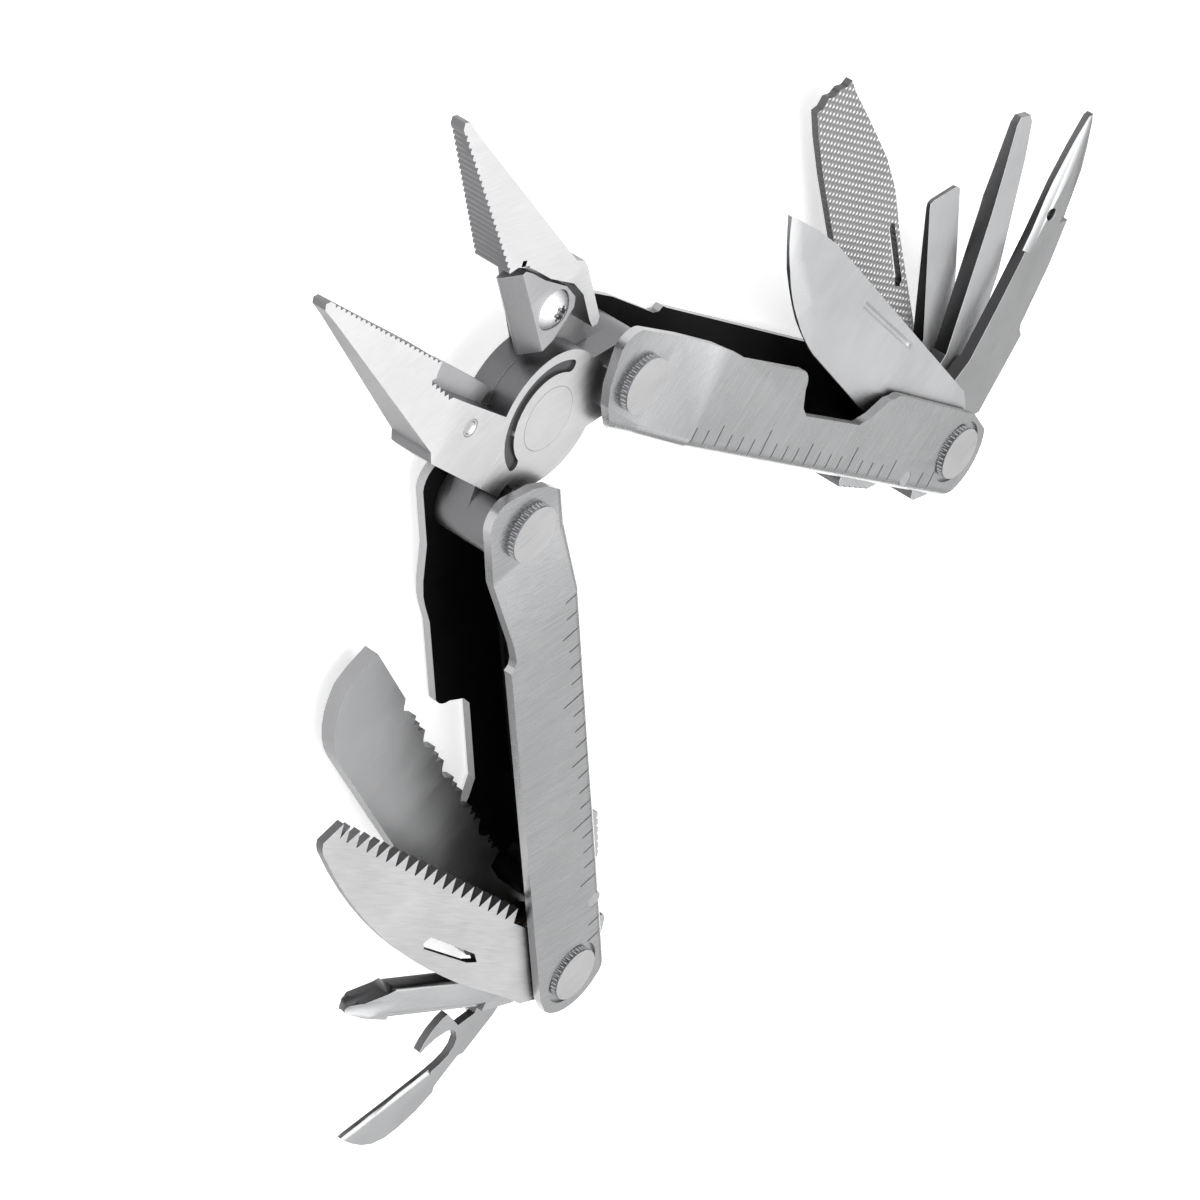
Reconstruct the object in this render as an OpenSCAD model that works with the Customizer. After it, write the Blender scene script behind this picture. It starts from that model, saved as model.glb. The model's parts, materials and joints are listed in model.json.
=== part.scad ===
// Folding plier multi tool, lying flat on its side with the jaws open and every tool partly out.
// Each handle has its own frame: x runs from the plier pin to the tool pin, y points out of the
// open side of the channel and z is across the sheet walls. Each jaw has its own frame too:
// x runs from the pivot to the tip along the grip line, and y points to the outside of the jaw.

/* [Pose] */
// Angle of each jaw from the middle of the pliers
jaw_open = 13.5; // [10:0.1:14]
// Angle of each handle from the middle of the pliers, behind the pivot
handle_open = 22.3; // [20:0.1:26]

/* [Pliers] */
// Radius of the round boss at the pivot
boss_r = 9.5; // [9.3:0.1:9.6]
// Half of the thickness of the plier head
jaw_half = 3.25; // [3:0.05:3.4]
// Distance from the pivot to the jaw tip
jaw_len = 54; // [50:0.5:56]
// Depth of the head at its widest, from the grip line
jaw_depth = 11.4; // [11:0.1:11.8]
// Distance from the pivot to each handle pin
tang_reach = 14.05; // [13.9:0.05:14.2]
// Angle of the tangs from the middle of the pliers when the jaws are shut
tang_angle = 42.8; // [42:0.1:43.5]

/* [Handles] */
// Distance between the two pins of a handle
pin_pitch = 89.2; // [89:0.1:90]
// Half of the width of a handle over its walls
handle_half = 7.9; // [7.8:0.05:8.1]
// Half of the width at the pinched end that holds the pliers
pinch_half = 6.2; // [6.1:0.05:6.6]
// Thickness of the sheet
sheet_t = 1.25; // [1.1:0.05:1.25]
// Distance from the pins to the back of the handle
back_d = 7.3; // [7.2:0.05:7.5]
// Distance from the pins to the open edge of the handle
edge_d = 6.7; // [6.5:0.1:7.2]

/* [Tools] */
// Thickness of the outer blades
blade_t = 2.2; // [2:0.05:2.3]
// Length of the knife from its pin
knife_len = 75.5; // [70:0.5:76]
// Length of the saw from its pin
saw_len = 77; // [74:0.2:77.6]
// Pitch of the saw teeth
saw_pitch = 2.9; // [2.6:0.1:3.2]
// Length of the serrated knife from its pin
serrated_len = 76.8; // [72:0.4:77.2]
// Length of the file from its pin
file_len = 71; // [66:0.5:72]

/* [Pins] */
// Radius of the handle pins
pin_r = 2.4; // [2.2:0.1:2.5]
// Radius of the knurled caps
cap_r = 3.95; // [3.8:0.05:4.1]
// Height of the knurled caps
cap_h = 1.15; // [1:0.05:1.15]
// Radial clearance of each moving bore on its pin
fit_gap = 0.05; // [0.02:0.01:0.09]

/* [Hidden] */
$fn = 64;

steel = [0.80, 0.81, 0.82];
dark_steel = [0.42, 0.43, 0.45];
bright_steel = [0.90, 0.90, 0.91];

// The pivot's place over the middle of the footprint, and the height of the middle plane
pivot_x = 22.7;
pivot_y = 4.7;
cap_sink = 0.45;
mid_z = handle_half + cap_h - cap_sink;

// Plier head
half_gap = 0.03;
grip_gap = 0.06;
boss_clear = 0.3;
tang_half = pinch_half - sheet_t - 0.06;
tang_r = 5.2;
tang_x = -tang_reach * cos(tang_angle);
tang_y = -tang_reach * sin(tang_angle);
rivet_r = 3;
rivet_head_r = 4.45;
rivet_head_h = 0.9;
cutter_t = 2.55;
screw_x = 15.4;
screw_y = 5.4;

// Handles
flare_from = 4.5;
flare_to = 15.5;
bend_r = 1.8;
spine_from = 9;
window_from = pin_pitch - 27;
lock_x = pin_pitch - 10.9;
lock_y = -5.4;
lock_pin_r = 1.2;
lock_half = handle_half - sheet_t - 0.15;

// Tools: the face of each layer that is nearest the notched wall, and its thickness
outer_z = 6.1;
ring_r = 5.2;
back_y = -7.2;

function arc(x, y, r, a0, a1, n = 8) =
    [for (i = [0:n]) [x + r * cos(a0 + (a1 - a0) * i / n), y + r * sin(a0 + (a1 - a0) * i / n)]];

// ---- places ----

module at_pivot() {
    translate([pivot_x, pivot_y, mid_z]) children();
}

module in_top_jaw() {
    at_pivot() rotate(jaw_open) children();
}

module in_under_jaw() {
    at_pivot() rotate(-jaw_open) rotate([180, 0, 0]) children();
}

module in_knife_handle() {
    in_top_jaw() translate([tang_x, tang_y, 0]) rotate(180 + handle_open - jaw_open) children();
}

module in_saw_handle() {
    in_under_jaw() translate([tang_x, tang_y, 0]) rotate(180 + handle_open - jaw_open) children();
}

// A tool turned out of the handle by an angle, in the layer whose face is at z
module on_tool_pin(angle, z, t) {
    translate([pin_pitch, 0, z - t]) rotate(180 - angle) children();
}

// ---- plier head ----

module jaw_shape(insert_side) {
    outer = [[jaw_len - 0.7, 0], [jaw_len, 0.5], [jaw_len - 0.5, 1.2], [jaw_len - 3.5, 1.9],
             [20.5, 10.1], [19.2, jaw_depth - 0.1]];
    root = insert_side ? [] : [[15, 2.6], [9.2, 2.2], [0, 5]];
    arm = [[17.6, 11.5], [8.2, 11.5], [7.2, 10.9], [7.6, 10], [9, 9.8], [14.2, 9.8], [17.4, 8.8],
           [21.6, 5.6], [24.6, 4], [26, 3.2], [27.8, 1.5], [28.2, 0]];
    boss_edge = [[1, jaw_depth], [0, 5]];
    translate([0, grip_gap])
        polygon(concat(insert_side ? concat(outer, arm) : concat(outer, boss_edge),
                       insert_side ? [] : [for (i = [1:len(root) - 1]) root[len(root) - 1 - i]],
                       insert_side ? [] : [[22.8, 3.1], [27, 2.6], [27.8, 1.5], [28.2, 0]]));
}

// The side view of the head: full thickness at the root, thin at the tip
module jaw_taper() {
    rotate([90, 0, 0]) translate([0, 0, -20])
        linear_extrude(40)
            polygon([[-30, -6], [-30, 6], [6, 6], [6, jaw_half], [19, jaw_half], [30, 2.65],
                     [jaw_len - 3, 1.15], [jaw_len + 1, 0.95], [jaw_len + 1, -0.95],
                     [jaw_len - 3, -1.15], [30, -2.65], [19, -jaw_half], [6, -jaw_half], [6, -6]]);
}

// Fine teeth along the grip face, cut across the jaw
module grip_grooves() {
    for (i = [0:21])
        translate([28.9 + i * 1.1, grip_gap, 0]) rotate(45)
            cube([0.5, 0.5, 12], center = true);
}

// Coarse teeth in the round grip behind the fine ones
module coarse_teeth() {
    for (i = [0:4])
        translate([22.9 + i * 1.15, 3.1 - i * 0.14, 0]) rotate(40)
            cube([0.8, 0.8, 12], center = true);
}

module tang_shape() {
    translate([tang_x, tang_y]) circle(tang_r);
    rotate(180 + tang_angle)
        polygon([[0, -5.6], [tang_reach, -tang_r], [tang_reach, tang_r], [0, 5.6]]);
}

module jaw() {
    difference() {
        union() {
            intersection() {
                union() {
                    translate([0, 0, half_gap]) linear_extrude(jaw_half) jaw_shape(false);
                    translate([0, 0, -jaw_half]) linear_extrude(jaw_half + half_gap)
                        jaw_shape(true);
                }
                jaw_taper();
            }
            translate([0, 0, half_gap]) cylinder(r = boss_r, h = jaw_half - half_gap);
            translate([0, 0, half_gap]) linear_extrude(jaw_half - half_gap) tang_shape();
            difference() {
                translate([tang_x, tang_y, -tang_half]) cylinder(r = tang_r, h = 2 * tang_half);
                translate([0, 0, -10]) cylinder(r = boss_r + boss_clear, h = 10 + half_gap);
                translate([0, 0, jaw_half]) cylinder(r = boss_r + 0.8, h = 10);
            }
        }
        translate([tang_x, tang_y, -10]) cylinder(r = pin_r + fit_gap, h = 20);
        translate([0, 0, -1]) cylinder(r = rivet_r + fit_gap, h = 10);
        translate([0, 0, jaw_half - rivet_head_h - fit_gap])
            cylinder(r = rivet_head_r + fit_gap, h = 2);
        translate([screw_x, screw_y, -1]) cylinder(r = 1.25, h = 10);
        grip_grooves();
        coarse_teeth();
        badge_recess();
    }
}

// A plain curved recess in the boss face, round the pivot
module badge_recess() {
    span = 76;
    mean_r = 7.25;
    end_r = 0.85;
    translate([0, 0, jaw_half - 0.45]) linear_extrude(1) {
        polygon(concat(arc(0, 0, mean_r + end_r, -span, span, 24),
                       arc(0, 0, mean_r - end_r, span, -span, 24)));
        for (side = [-1, 1]) rotate(side * span) translate([mean_r, 0]) circle(end_r);
    }
}

module cutter() {
    difference() {
        translate([0, 0, -cutter_t]) linear_extrude(cutter_t + half_gap)
            polygon([[10.6, 0.05], [10.7, 4.2], [12.6, 8.6], [14, 9.2], [17, 8.3], [21.3, 5.3],
                     [24.3, 3.7], [25.6, 2.8], [25.6, 0.05]]);
        rotate([90, 0, 90]) translate([0, 0, 5]) linear_extrude(25)
            polygon([[-1, 0.05], [0.05, -0.35], [2.3, -cutter_t - 0.1], [-1, -cutter_t - 0.1]]);
        translate([screw_x, screw_y, -5]) cylinder(r = 1.25, h = 10);
    }
}

module cutter_screw() {
    difference() {
        union() {
            translate([screw_x, screw_y, -cutter_t]) cylinder(r = 1.2, h = cutter_t + jaw_half);
            intersection() {
                translate([screw_x, screw_y, -cutter_t - 1.15]) cylinder(r = 2.95, h = 1.15);
                translate([screw_x, screw_y, -cutter_t + 2.85]) sphere(r = 4);
            }
        }
        translate([screw_x, screw_y, -cutter_t - 2]) star_socket();
        translate([screw_x, screw_y, jaw_half - 0.25]) cylinder(r1 = 0.75, r2 = 1, h = 0.3);
    }
}

// A six-lobed driver socket
module star_socket() {
    linear_extrude(1.7) {
        circle(0.85);
        for (i = [0:5]) rotate(i * 60) translate([0.85, 0]) circle(0.28);
    }
}

module rivet() {
    translate([0, 0, -jaw_half]) cylinder(r = rivet_r, h = 2 * jaw_half);
    for (side = [0, 1]) mirror([0, 0, side])
        translate([0, 0, jaw_half - rivet_head_h]) cylinder(r = rivet_head_r, h = rivet_head_h);
}

// ---- handles ----

// Cross-section of the channel, seen along the handle: width across, depth along y
module channel_section(half, r) {
    top = 12;
    translate([-half, -back_d + r]) square([2 * half, top + back_d - r]);
    translate([-half + r, -back_d]) square([2 * (half - r), top]);
    for (side = [-1, 1]) translate([side * (half - r), -back_d + r]) circle(r, $fn = 32);
}

module inner_section(half) {
    translate([0, sheet_t]) channel_section(half - sheet_t, bend_r - sheet_t);
}

// Sections stand across the handle: their x is taken across the walls
module along_handle(x) {
    translate([x, 0, 0]) rotate([0, 90, 0]) children();
}

module channel_solid(inner) {
    far_end = pin_pitch + 10;
    module section(half) {
        if (inner) inner_section(half);
        else channel_section(half, bend_r);
    }
    along_handle(-12) linear_extrude(12 + flare_from) section(pinch_half);
    hull() {
        along_handle(flare_from - 0.01) linear_extrude(0.01) section(pinch_half);
        along_handle(flare_to) linear_extrude(0.01) section(handle_half);
    }
    along_handle(flare_to) linear_extrude(far_end - flare_to) section(handle_half);
}

// Outline of the pinched end, shared by both walls
function tang_end() = concat([[-0.6, -back_d], [-1.9, -6.5], [-4.6, -4.1], [-6.3, -1.5]],
                             arc(-4.4, 3.3, 3.4, 180, 100, 6));

function tool_end() = concat(arc(pin_pitch - 0.6, -0.6, 7.4, 40, -65, 10));

// The wall with the deep notch, which bares the blade's nail groove
module notched_wall() {
    polygon(concat(tang_end(), [[4, 6.9], [12, 7.1], [17.5, 6.7], [21, 6.2], [35.4, 6.5]],
                   arc(35.4, 3.6, 3, 80, 10, 5), [[40.2, 1.6], [42, 0.6], [57.4, 0.9]],
                   [[60, 2.4], [62.4, 5]], arc(65.6, 3.6, 2.6, 130, 88, 4),
                   [[pin_pitch, 5.9]], tool_end(), [[pin_pitch + 1, -back_d], [0, -back_d]]));
}

// The plain wall, straight past the flare
module plain_wall() {
    polygon(concat(tang_end(), [[4, 6.9], [12, 6.2], [18.4, 5.6], [19.6, 6], [20, 6.8], [21, edge_d]],
                   [[pin_pitch, edge_d - 0.2]], arc(pin_pitch - 0.6, -0.6, 7.4, 60, -65, 10),
                   [[pin_pitch + 1, -back_d], [0, -back_d]]));
}

module handle() {
    difference() {
        intersection() {
            difference() {
                channel_solid(false);
                channel_solid(true);
            }
            union() {
                linear_extrude(12) notched_wall();
                translate([0, 0, -12]) linear_extrude(12) plain_wall();
            }
        }
        for (x = [0, pin_pitch]) translate([x, 0, -12]) cylinder(r = pin_r + 0.02, h = 24);
        translate([lock_x, lock_y, -12]) cylinder(r = lock_pin_r + 0.02, h = 24);
        // The back is open round the plier tang and under the lock
        translate([-12, -back_d - 1, -pinch_half + sheet_t])
            cube([12 + spine_from, 4, 2 * (pinch_half - sheet_t)]);
        translate([window_from, -back_d - 1, -handle_half + sheet_t])
            cube([50, 4, 2 * (handle_half - sheet_t)]);
        // Shallow dish round each tool cap
        for (side = [-1, 1]) translate([pin_pitch, 0, side * handle_half])
            cylinder(r = cap_r + 0.9, h = 2 * cap_sink, center = true);
        ruler_ticks();
    }
}

// An inch ruler engraved along the back edge of both walls, eight marks to the inch
module ruler_ticks() {
    tick = 25.4 / 8;
    for (side = [-1, 1]) for (i = [0:22]) {
        long = i % 8 == 0 ? 4 : (i % 4 == 0 ? 3.3 : 2.3);
        x = pin_pitch - 3.5 - i * tick;
        if (abs(x - lock_x) > 2.6)
            translate([x, -back_d + 1.1 + long / 2, side * handle_half])
                cube([0.3, long, 0.24], center = true);
    }
}

module pins() {
    for (x = [0, 1])
        translate([x * pin_pitch, 0, 0])
            cylinder(r = pin_r, h = 2 * (x == 0 ? pinch_half : handle_half - cap_sink),
                     center = true);
}

// Four knurled caps, two on each pin
module caps() {
    for (x = [0, 1]) for (side = [0, 1]) mirror([0, 0, side])
        translate([x * pin_pitch, 0, x == 0 ? pinch_half : handle_half - cap_sink]) cap();
}

module cap() {
    teeth = 36;
    difference() {
        cylinder(r = cap_r, h = cap_h);
        for (i = [0:teeth - 1]) rotate(i * 360 / teeth) translate([cap_r + 0.08, 0, -0.1])
            cylinder(r = 0.26, h = cap_h - 0.15, $fn = 16);
    }
}

// ---- lock ----

// A rocker in the back of the handle: a thumb pad at one end, a hook for the open tool at the other
module lock() {
    pad_x = window_from + 0.5;
    difference() {
        union() {
            translate([0, 0, -lock_half]) linear_extrude(2 * lock_half)
                polygon([[pad_x, -7.9], [pad_x + 0.8, -8.7], [pad_x + 9, -8.3],
                         [lock_x - 4.5, -back_d], [lock_x, -back_d], [pin_pitch - 4, -7.3],
                         [pin_pitch - 3.4, -8.5], [pin_pitch - 2.4, -8.7], [pin_pitch + 0.6, -7.6],
                         [pin_pitch + 1.2, -6.9], [pin_pitch + 1.2, -6.1], [pin_pitch, -5.75],
                         [pin_pitch - 1.2, -5.8], [pin_pitch - 2.6, -6.2], [lock_x + 2.5, -6.2],
                         [lock_x - 2.5, -6.2], [pad_x + 4, -6.4], [pad_x, -7]]);
            translate([lock_x, lock_y, -lock_half]) cylinder(r = 1.9, h = 2 * lock_half);
        }
        translate([lock_x, lock_y, -12]) cylinder(r = lock_pin_r + fit_gap, h = 24);
        // Grooves across the thumb pad
        for (i = [0:4]) translate([pad_x + 2 + i * 1.6, -8.75 + i * 0.06, 0])
            cube([0.6, 0.7, 2 * lock_half + 1], center = true);
    }
}

module lock_pin() {
    translate([lock_x, lock_y, 0])
        cylinder(r = lock_pin_r, h = 2 * handle_half - 0.1, center = true);
}

// A leaf spring under the thumb pad, held at the end of the handle's back
module lock_spring() {
    translate([0, 0, -3]) linear_extrude(6)
        polygon([[window_from - 12, -back_d + sheet_t], [window_from - 12, -5.45],
                 [window_from - 1, -5.45], [window_from + 4, -5.25], [window_from + 4, -5.6],
                 [window_from - 1, -5.9], [window_from - 1, -back_d + sheet_t]]);
}

// ---- tools ----

// The round end that turns on the pin, with the notch that the lock's hook drops into
module tang(t, neck_top, neck_back) {
    difference() {
        union() {
            cylinder(r = ring_r, h = t);
            linear_extrude(t)
                polygon([[0, ring_r], [ring_r * 0.5, ring_r * 0.9], [12, neck_top],
                         [12, -neck_back], [5, -neck_back], [0, -ring_r]]);
        }
        translate([-1.3, -ring_r - 0.5, -1]) cube([2.6, 1.3, t + 2]);
    }
}

module pin_hole(t) {
    translate([0, 0, -1]) cylinder(r = pin_r + fit_gap, h = t + 2);
}

// A tool: its root at full thickness, and a blade between the heights low and high
module tool_body(t, neck_top, neck_back, low, high) {
    difference() {
        union() {
            tang(t, neck_top, neck_back);
            translate([0, 0, low]) linear_extrude(high - low) children();
        }
        pin_hole(t);
    }
}

// A wedge that thins a blade to its edge along the line from a to b, off the face at z = 0 or t
module bevel(a, b, width, t, keep, top) {
    d = b - a;
    angle = atan2(d[1], d[0]);
    translate([a[0], a[1], top ? t : 0]) rotate(angle) mirror([0, 0, top ? 0 : 1])
        rotate([90, 0, 90]) translate([0, 0, -1]) linear_extrude(norm(d) + 2)
            polygon([[-width, 0], [0, (keep - t) / 2], [3, (keep - t) / 2], [3, 1], [-width, 1]]);
}

module knife_shape() {
    polygon(concat(arc(knife_len - 30.5, -44.7, 49.8, 52.6, 86.3, 14),
                   [[28, 5.2], [25.5, 5], [24.8, 3.2], [12, 2.8]],
                   [[10, back_y], [62, back_y + 0.1], [68.5, -6.4]]));
}

module knife() {
    t = blade_t;
    difference() {
        tool_body(t, 2.8, -back_y, 0, t) knife_shape();
        for (top = [true, false]) {
            bevel([26, 5.25], [48, 5.2], 3.4, t, 0.3, top);
            bevel([47, 5.3], [58, 3.7], 3.2, t, 0.3, top);
            bevel([57, 4], [67, 0.4], 2.8, t, 0.3, top);
            bevel([66, 0.9], [knife_len + 0.4, -5.2], 2, t, 0.4, top);
        }
        // Nail groove in the face by the back
        translate([27, -5.6, t]) rotate([0, 90, 3]) cylinder(r = 0.55, h = 19);
    }
}

module serrated_shape() {
    l = serrated_len;
    scallops = [for (i = [0:4]) let (x = 64 - i * 9.2) each concat(
                [for (j = [0:5]) [x - j, 5.1 - 1.3 * sin(180 * j / 5)]],
                [[x - 6, 4.1], [x - 6.9, 5], [x - 7.8, 4.1], [x - 8.6, 5]])];
    polygon(concat([[l, 5.1]], scallops, [[17, 5], [16, 2.8], [10, 2.8], [10, back_y]],
                   [[l - 20, back_y]], arc(l - 10.4, back_y + 12, 12, 270, 330, 6),
                   [[l + 0.3, 1.2]]));
}

module serrated_knife() {
    t = blade_t;
    difference() {
        tool_body(t, 2.8, -back_y, 0, t) serrated_shape();
        bevel([14, 5.3], [66, 5.3], 2.6, t, 0.5, true);
        translate([34, -5.6, t]) rotate([0, 90, 0]) cylinder(r = 0.55, h = 19);
    }
}

module saw_shape() {
    n = floor((saw_len - 4 - 18) / saw_pitch);
    teeth = [for (i = [0:n]) let (x = saw_len - 3.6 - i * saw_pitch, y = 5 - i * 0.02)
             each [[x, y], [x - saw_pitch * 0.45, y - 2.1], [x - saw_pitch * 0.55, y - 2.1]]];
    polygon(concat([[saw_len - 0.6, 0.9], [saw_len, 1.6], [saw_len - 1.8, 4.9], [saw_len - 3, 3]],
                   teeth, [[16, 2.6], [10, 2.7], [10, back_y]],
                   [for (i = [0:10]) let (x = 24 + i * (saw_len - 25.5) / 10, k = (x - 24) / 52)
                    [x, back_y - 0.7 + 8.4 * pow(k, 2.4)]]));
}

module saw() {
    t = blade_t;
    difference() {
        tool_body(t, 2.7, -back_y, 0, 1.1) saw_shape();
        translate([0, 0, -1]) linear_extrude(t + 2)
            polygon([[23.1, -4.3], [25, -3.4], [38.4, -3.7], [39.4, -4.8], [38.4, -5.5], [25.6, -4.9]]);
    }
}

module file_shape() {
    l = file_len;
    tip = [for (i = [0:6]) [l - 0.5 * (i % 2) - 0.25 * abs(i - 2), 4.9 - i * 1.2]];
    polygon(concat([[12, 2.8], [14, 3], [22, 3.8], [30, 5], [40, 5.6], [58, 5.7], [66, 5.4]], tip,
                   [[67.5, -2.6], [60, -4.4], [50, -6.6], [43, back_y - 0.1], [32, -6.9],
                    [10, back_y]]));
}

module file() {
    t = blade_t;
    difference() {
        tool_body(t, 2.8, -back_y, t - 1.1, t) file_shape();
        translate([0, 0, -1]) linear_extrude(t + 2)
            polygon([[23.5, -5.4], [24.3, -4.6], [36.4, -5], [37.2, -5.6], [36.4, -6.2], [24.3, -6]]);
    }
}

module awl() {
    t = 2;
    difference() {
        tool_body(t, 1.6, 8, 0.3, t)
            polygon([[12, 1.6], [20, 2.2], [27, 2.9], [32, 3.5], [39.5, 4.9], [45, 5.2],
                     [49.7, 5.1], [50.4, 4.5], [49.6, 3.5], [46.1, 0.8], [42.9, -1.3],
                     [38.1, -3.2], [29.2, -5.9], [20, -7.4], [19.2, -8], [18.6, -9.3],
                     [6.1, -9.6], [5, -8]]);
        translate([35.4, 1.6, -1]) cylinder(r = 0.95, h = t + 2);
        // The point is ground away from both faces
        bevel([30, 3.9], [50.5, 5.4], 2.2, t, 0.5, true);
        bevel([51.5, 5], [37, -3.6], 2.4, t, 0.6, true);
    }
}

module large_driver() {
    t = 2.2;
    difference() {
        tool_body(t, 0.6, 7, 0, t)
            polygon([[12, 0.5], [23, 1.6], [34, 2.6], [40.5, 3.6], [47.8, 4.9], [49, 4.6],
                     [49.2, 2.2], [48.2, 1.1], [42.5, -0.9], [33.8, -3.2], [24.4, -5.6],
                     [12, -6.9], [8, -7]]);
        rotate([90, 0, 0]) translate([0, 0, -10]) linear_extrude(20)
            polygon([[36, 0], [49.5, 1.1], [50, -1], [36, -1]]);
    }
}

module small_driver() {
    t = 1.9;
    difference() {
        tool_body(t, 0.4, 6.8, 0, t)
            polygon([[12, 0.3], [14, -0.9], [38, 3.3], [39, 3.3], [39.3, 2.6], [39.3, -2.4],
                     [38.6, -3.4], [19.2, -6.9], [8, -6.8]]);
        rotate([90, 0, 0]) translate([0, 0, -10]) linear_extrude(20)
            polygon([[14, 0], [39.5, 1.3], [40, -1], [14, -1]]);
    }
}

// A flute of the cross point: a round cut that deepens towards the tip
module flute(x, y, z, dip, yaw, r) {
    translate([x, y, z]) rotate([0, 90 - dip, yaw]) cylinder(r = r, h = 16);
}

module phillips_driver() {
    t = 3.2;
    difference() {
        tool_body(t, -1.2, 6.6, 0, t)
            polygon([[12, -1.3], [35.7, 1.25], [37.6, 0.8], [40.5, 0.5], [43, 0.2], [44.4, -0.1],
                     [44.9, -0.7], [44.7, -1.4], [43.6, -1.8], [38.5, -2.9], [35.3, -3.6],
                     [25, -4.8], [12, -6.3], [8, -6.6]]);
        for (top = [true, false]) {
            bevel([34.6, -3.5], [13, -6.1], 1.1, t, t - 1.6, top);
            bevel([13, -1.2], [35, 1.2], 0.45, t, t - 0.9, top);
        }
        flute(34, -1.15, -1.45, 5.7, 0.5, 1.45);
        flute(34, -1.15, t + 1.45, -5.7, 0.5, 1.45);
        flute(35, 2.55, t / 2, 0, -9.5, 1.2);
        flute(34.6, -4.9, t / 2, 0, 13.5, 1.2);
    }
}

module can_opener() {
    t = 2.4;
    blade_h = 1.15;
    blade = [[10.2, -6.6], [16, -6.8], [23.8, -7.1], [27.2, -6.7], [30.7, -5.6], [33, -4.4],
             [34.9, -2.6], [36.2, -0.4], [37.2, 2.3], [37.9, 5], [37, 4.6], [29.7, 0.9],
             [22.5, -2.5], [20.4, -3.3], [18.8, -3.6], [17.3, -3.3], [16.3, -2.4], [15.9, -0.9],
             [16.1, 0.3], [16.9, 1.4], [18.8, 2.6], [20.9, 3.3], [21.8, 3.3], [21.8, 3.9],
             [20.6, 4.5], [18.8, 4.9], [16.8, 4.9], [15.4, 4.5], [15, -0.2], [12, -1.8]];
    difference() {
        tool_body(t, -1.8, 6.1, 0, blade_h) polygon(concat(blade, [[8, -6.1]]));
        bevel([23, -2.35], [38.4, 5.2], 0.55, blade_h, 0.15, false);
        // A crescent nail nick at the outer edge
        translate([20, -9.6, -0.5]) cylinder(r = 4.3, h = 0.9);
    }
}

// ---- washers, one in each gap of the stack on a tool pin ----

module washer(low, high) {
    gap = 0.04;
    translate([pin_pitch, 0, low + gap]) difference() {
        cylinder(r = 4.3, h = high - low - 2 * gap);
        translate([0, 0, -1]) cylinder(r = pin_r + fit_gap, h = 3);
    }
}

// Layers of the knife side, from the notched wall down: face and thickness of each tool
knife_stack = [[outer_z, blade_t], [3.6, 2], [1.3, 2.2], [-1.2, 1.9], [-outer_z + blade_t, blade_t]];
// Layers of the saw side, from the plain wall up
saw_stack = [[outer_z, blade_t], [0.35, 2.4 + 0.35], [3.6, 3.2], [-outer_z + blade_t, blade_t]];

module knife_washers() {
    wall = handle_half - sheet_t;
    washer(outer_z, wall);
    for (i = [0:3]) washer(knife_stack[i + 1][0], knife_stack[i][0] - knife_stack[i][1]);
    washer(-wall, -outer_z);
}

// ---- tools at their places ----

knife_turn = 15.6;
awl_turn = 95.3;
large_turn = 76;
small_turn = 56.8;
file_turn = 35.8;
saw_turn = 32.3;
phillips_turn = 54.3;
opener_turn = 106.7;
serrated_turn = 17.4;

phillips_z = -0.4;
opener_z = 3;

module saw_washers() {
    wall = handle_half - sheet_t;
    washer(outer_z, wall);
    washer(opener_z, outer_z - blade_t);
    washer(phillips_z, opener_z - 2.4);
    washer(-outer_z + blade_t, phillips_z - 3.2);
    washer(-wall, -outer_z);
}

color(steel) in_top_jaw() jaw();  // top_jaw
color(steel) in_under_jaw() jaw();  // under_jaw
color(bright_steel) in_top_jaw() rivet();  // plier_rivet
color(dark_steel) in_top_jaw() cutter();  // top_cutter
color(dark_steel) in_under_jaw() cutter();  // under_cutter
color(bright_steel) in_top_jaw() cutter_screw();  // top_cutter_screw
color(bright_steel) in_under_jaw() cutter_screw();  // under_cutter_screw
color(steel) in_knife_handle() handle();  // knife_side_handle
color(steel) in_saw_handle() handle();  // saw_side_handle
color(steel) in_knife_handle() pins();  // knife_side_pins
color(steel) in_saw_handle() pins();  // saw_side_pins
color(bright_steel) in_knife_handle() caps();  // knife_side_caps
color(bright_steel) in_saw_handle() caps();  // saw_side_caps
color("goldenrod") in_knife_handle() knife_washers();  // knife_side_washers
color("goldenrod") in_saw_handle() saw_washers();  // saw_side_washers
color(steel) in_knife_handle() lock();  // knife_side_lock
color(steel) in_saw_handle() lock();  // saw_side_lock
color(steel) in_knife_handle() lock_pin();  // knife_side_lock_pin
color(steel) in_saw_handle() lock_pin();  // saw_side_lock_pin
color(dark_steel) in_knife_handle() lock_spring();  // knife_side_lock_spring
color(dark_steel) in_saw_handle() lock_spring();  // saw_side_lock_spring
color(bright_steel)
    in_knife_handle() on_tool_pin(knife_turn, outer_z, blade_t) knife();
color(dark_steel)
    in_knife_handle() on_tool_pin(file_turn, -outer_z + blade_t, blade_t) file();
color(steel)
    in_knife_handle() on_tool_pin(awl_turn, 3.6, 2) awl();
color(steel)
    in_knife_handle() on_tool_pin(large_turn, 1.3, 2.2) large_driver();
color(steel)
    in_knife_handle() on_tool_pin(small_turn, -1.2, 1.9) small_driver();
color(bright_steel)
    in_saw_handle() on_tool_pin(saw_turn, -outer_z + blade_t, blade_t) saw();
color(steel)
    in_saw_handle() on_tool_pin(serrated_turn, outer_z, blade_t) serrated_knife();
color(steel)
    in_saw_handle() on_tool_pin(phillips_turn, phillips_z, 3.2) phillips_driver();
color(steel)
    in_saw_handle() on_tool_pin(opener_turn, opener_z, 2.4) can_opener();
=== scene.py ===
"""Looks for the folding plier multi tool: softened edges, brushed and ground steel, and a studio."""

import json
import math

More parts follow.
